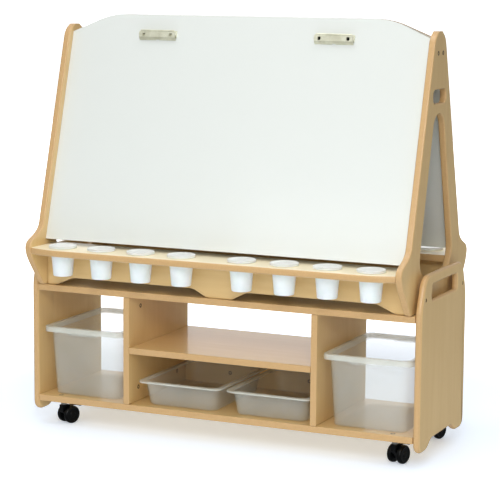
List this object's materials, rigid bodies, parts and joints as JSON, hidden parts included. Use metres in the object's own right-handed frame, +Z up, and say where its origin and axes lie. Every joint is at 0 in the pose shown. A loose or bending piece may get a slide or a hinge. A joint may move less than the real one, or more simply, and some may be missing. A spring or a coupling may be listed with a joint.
{
  "type": "kids easel",
  "caption": "Two-sided plywood whiteboard easel with paint pot shelves, standing on an open storage trolley with tubs, trays and swivel casters.",
  "frame": {"origin": "on the floor, under the middle of the trolley and easel", "axes": "+X to the right seen from the front along the boards, -Y towards the front, +Z up"},
  "size_m": [1.15, 0.566, 1.148],
  "materials": {
    "birch": "clear satin lacquer on birch plywood",
    "whiteboard": "glossy white dry-wipe laminate",
    "pot_plastic": "smooth white moulded plastic",
    "frosted_plastic": "translucent frosted moulded plastic",
    "chrome": "nickel-plated pressed steel",
    "zinc": "zinc-plated steel",
    "black_plastic": "black nylon"
  },
  "bodies": {
    "trolley": {"trolley_left_end_panel": "birch", "trolley_right_end_panel": "birch", "trolley_top_board": "birch", "trolley_bottom_board": "birch", "trolley_middle_shelf": "birch", "trolley_left_divider": "birch", "trolley_right_divider": "birch", "trolley_centre_back_panel": "birch", "caster_stem_front_left": "zinc", "caster_stem_front_right": "zinc", "caster_stem_rear_left": "zinc", "caster_stem_rear_right": "zinc"},
    "caster_front_left": {"caster_housing_front_left": "black_plastic"},
    "wheels_front_left": {"caster_wheels_front_left": "black_plastic"},
    "brake_front_left": {"caster_brake_lever_front_left": "black_plastic"},
    "caster_front_right": {"caster_housing_front_right": "black_plastic"},
    "wheels_front_right": {"caster_wheels_front_right": "black_plastic"},
    "brake_front_right": {"caster_brake_lever_front_right": "black_plastic"},
    "caster_rear_left": {"caster_housing_rear_left": "black_plastic"},
    "wheels_rear_left": {"caster_wheels_rear_left": "black_plastic"},
    "caster_rear_right": {"caster_housing_rear_right": "black_plastic"},
    "wheels_rear_right": {"caster_wheels_rear_right": "black_plastic"},
    "deep_tub_left": {"deep_tub_left": "frosted_plastic"},
    "shallow_tray_left": {"shallow_tray_left": "frosted_plastic"},
    "deep_tub_right": {"deep_tub_right": "frosted_plastic"},
    "shallow_tray_right": {"shallow_tray_right": "frosted_plastic"},
    "clip_front_left": {"front_clip_jaw_left": "chrome"},
    "clip_front_right": {"front_clip_jaw_right": "chrome"},
    "front_paint_pot_1": {"front_paint_pot_1": "pot_plastic"},
    "front_paint_pot_2": {"front_paint_pot_2": "pot_plastic"},
    "front_paint_pot_3": {"front_paint_pot_3": "pot_plastic"},
    "front_paint_pot_4": {"front_paint_pot_4": "pot_plastic"},
    "front_paint_pot_5": {"front_paint_pot_5": "pot_plastic"},
    "front_paint_pot_6": {"front_paint_pot_6": "pot_plastic"},
    "front_paint_pot_7": {"front_paint_pot_7": "pot_plastic"},
    "front_paint_pot_8": {"front_paint_pot_8": "pot_plastic"},
    "clip_rear_left": {"rear_clip_jaw_left": "chrome"},
    "clip_rear_right": {"rear_clip_jaw_right": "chrome"},
    "rear_paint_pot_1": {"rear_paint_pot_1": "pot_plastic"},
    "rear_paint_pot_2": {"rear_paint_pot_2": "pot_plastic"},
    "rear_paint_pot_3": {"rear_paint_pot_3": "pot_plastic"},
    "rear_paint_pot_4": {"rear_paint_pot_4": "pot_plastic"},
    "rear_paint_pot_5": {"rear_paint_pot_5": "pot_plastic"},
    "rear_paint_pot_6": {"rear_paint_pot_6": "pot_plastic"},
    "rear_paint_pot_7": {"rear_paint_pot_7": "pot_plastic"},
    "rear_paint_pot_8": {"rear_paint_pot_8": "pot_plastic"},
    "easel": {"easel_left_end_frame": "birch", "easel_right_end_frame": "birch", "easel_top_rail": "birch", "front_pot_shelf": "birch", "front_apron": "birch", "front_whiteboard": "whiteboard", "rear_pot_shelf": "birch", "rear_apron": "birch", "rear_whiteboard": "whiteboard", "front_clip_base_left": "chrome", "front_clip_base_right": "chrome", "rear_clip_base_left": "chrome", "rear_clip_base_right": "chrome"}
  },
  "joints": [
    {"name": "caster_swivel_front_left", "type": "hinge", "parent": "trolley", "child": "caster_front_left", "pos_m": [-0.497, -0.146, 0.05], "axis": [0, 0, 1], "continuous": true},
    {"name": "wheel_roll_front_left", "type": "hinge", "parent": "caster_front_left", "child": "wheels_front_left", "pos_m": [-0.49101, -0.13117, 0.025], "axis": [0.9272, -0.3746, 0], "continuous": true},
    {"name": "brake_lever_front_left", "type": "hinge", "parent": "caster_front_left", "child": "brake_front_left", "pos_m": [-0.49288, -0.1358, 0.047], "axis": [0.9272, -0.3746, 0], "range_deg": [-12, 0]},
    {"name": "caster_swivel_front_right", "type": "hinge", "parent": "trolley", "child": "caster_front_right", "pos_m": [0.497, -0.146, 0.05], "axis": [0, 0, 1], "continuous": true},
    {"name": "wheel_roll_front_right", "type": "hinge", "parent": "caster_front_right", "child": "wheels_front_right", "pos_m": [0.50114, -0.13055, 0.025], "axis": [0.9659, -0.2588, 0], "continuous": true},
    {"name": "brake_lever_front_right", "type": "hinge", "parent": "caster_front_right", "child": "brake_front_right", "pos_m": [0.49985, -0.13537, 0.047], "axis": [0.9659, -0.2588, 0], "range_deg": [-12, 0]},
    {"name": "caster_swivel_rear_left", "type": "hinge", "parent": "trolley", "child": "caster_rear_left", "pos_m": [-0.497, 0.146, 0.05], "axis": [0, 0, 1], "continuous": true},
    {"name": "wheel_roll_rear_left", "type": "hinge", "parent": "caster_rear_left", "child": "wheels_rear_left", "pos_m": [-0.49179, 0.16113, 0.025], "axis": [0.9455, -0.3256, 0], "continuous": true},
    {"name": "caster_swivel_rear_right", "type": "hinge", "parent": "trolley", "child": "caster_rear_right", "pos_m": [0.497, 0.146, 0.05], "axis": [0, 0, 1], "continuous": true},
    {"name": "wheel_roll_rear_right", "type": "hinge", "parent": "caster_rear_right", "child": "wheels_rear_right", "pos_m": [0.50221, 0.16113, 0.025], "axis": [0.9455, -0.3256, 0], "continuous": true},
    {"name": "deep_tub_left_slide", "type": "slide", "parent": "trolley", "child": "deep_tub_left", "axis": [0, -1, 0], "range_m": [0, 0.36]},
    {"name": "shallow_tray_left_slide", "type": "slide", "parent": "trolley", "child": "shallow_tray_left", "axis": [0, -1, 0], "range_m": [0, 0.36]},
    {"name": "deep_tub_right_slide", "type": "slide", "parent": "trolley", "child": "deep_tub_right", "axis": [0, -1, 0], "range_m": [0, 0.36]},
    {"name": "shallow_tray_right_slide", "type": "slide", "parent": "trolley", "child": "shallow_tray_right", "axis": [0, -1, 0], "range_m": [0, 0.36]},
    {"name": "easel_lift", "type": "slide", "parent": "trolley", "child": "easel", "axis": [0, 0, 1], "range_m": [0, 0.12]},
    {"name": "clip_jaw_front_left", "type": "hinge", "parent": "easel", "child": "clip_front_left", "pos_m": [-0.261, -0.02773, 1.09741], "axis": [-1, 0, 0], "range_deg": [0, 20], "stiffness_Nm_per_rad": 0.6},
    {"name": "clip_jaw_front_right", "type": "hinge", "parent": "easel", "child": "clip_front_right", "pos_m": [0.261, -0.02773, 1.09741], "axis": [-1, 0, 0], "range_deg": [0, 20], "stiffness_Nm_per_rad": 0.6},
    {"name": "front_paint_pot_1_lift", "type": "slide", "parent": "easel", "child": "front_paint_pot_1", "axis": [0, 0, 1], "range_m": [0, 0.095]},
    {"name": "front_paint_pot_2_lift", "type": "slide", "parent": "easel", "child": "front_paint_pot_2", "axis": [0, 0, 1], "range_m": [0, 0.095]},
    {"name": "front_paint_pot_3_lift", "type": "slide", "parent": "easel", "child": "front_paint_pot_3", "axis": [0, 0, 1], "range_m": [0, 0.095]},
    {"name": "front_paint_pot_4_lift", "type": "slide", "parent": "easel", "child": "front_paint_pot_4", "axis": [0, 0, 1], "range_m": [0, 0.095]},
    {"name": "front_paint_pot_5_lift", "type": "slide", "parent": "easel", "child": "front_paint_pot_5", "axis": [0, 0, 1], "range_m": [0, 0.095]},
    {"name": "front_paint_pot_6_lift", "type": "slide", "parent": "easel", "child": "front_paint_pot_6", "axis": [0, 0, 1], "range_m": [0, 0.095]},
    {"name": "front_paint_pot_7_lift", "type": "slide", "parent": "easel", "child": "front_paint_pot_7", "axis": [0, 0, 1], "range_m": [0, 0.095]},
    {"name": "front_paint_pot_8_lift", "type": "slide", "parent": "easel", "child": "front_paint_pot_8", "axis": [0, 0, 1], "range_m": [0, 0.095]},
    {"name": "clip_jaw_rear_left", "type": "hinge", "parent": "easel", "child": "clip_rear_left", "pos_m": [0.261, 0.02773, 1.09741], "axis": [1, 0, 0], "range_deg": [0, 20], "stiffness_Nm_per_rad": 0.6},
    {"name": "clip_jaw_rear_right", "type": "hinge", "parent": "easel", "child": "clip_rear_right", "pos_m": [-0.261, 0.02773, 1.09741], "axis": [1, 0, 0], "range_deg": [0, 20], "stiffness_Nm_per_rad": 0.6},
    {"name": "rear_paint_pot_1_lift", "type": "slide", "parent": "easel", "child": "rear_paint_pot_1", "axis": [0, 0, 1], "range_m": [0, 0.095]},
    {"name": "rear_paint_pot_2_lift", "type": "slide", "parent": "easel", "child": "rear_paint_pot_2", "axis": [0, 0, 1], "range_m": [0, 0.095]},
    {"name": "rear_paint_pot_3_lift", "type": "slide", "parent": "easel", "child": "rear_paint_pot_3", "axis": [0, 0, 1], "range_m": [0, 0.095]},
    {"name": "rear_paint_pot_4_lift", "type": "slide", "parent": "easel", "child": "rear_paint_pot_4", "axis": [0, 0, 1], "range_m": [0, 0.095]},
    {"name": "rear_paint_pot_5_lift", "type": "slide", "parent": "easel", "child": "rear_paint_pot_5", "axis": [0, 0, 1], "range_m": [0, 0.095]},
    {"name": "rear_paint_pot_6_lift", "type": "slide", "parent": "easel", "child": "rear_paint_pot_6", "axis": [0, 0, 1], "range_m": [0, 0.095]},
    {"name": "rear_paint_pot_7_lift", "type": "slide", "parent": "easel", "child": "rear_paint_pot_7", "axis": [0, 0, 1], "range_m": [0, 0.095]},
    {"name": "rear_paint_pot_8_lift", "type": "slide", "parent": "easel", "child": "rear_paint_pot_8", "axis": [0, 0, 1], "range_m": [0, 0.095]}
  ]
}
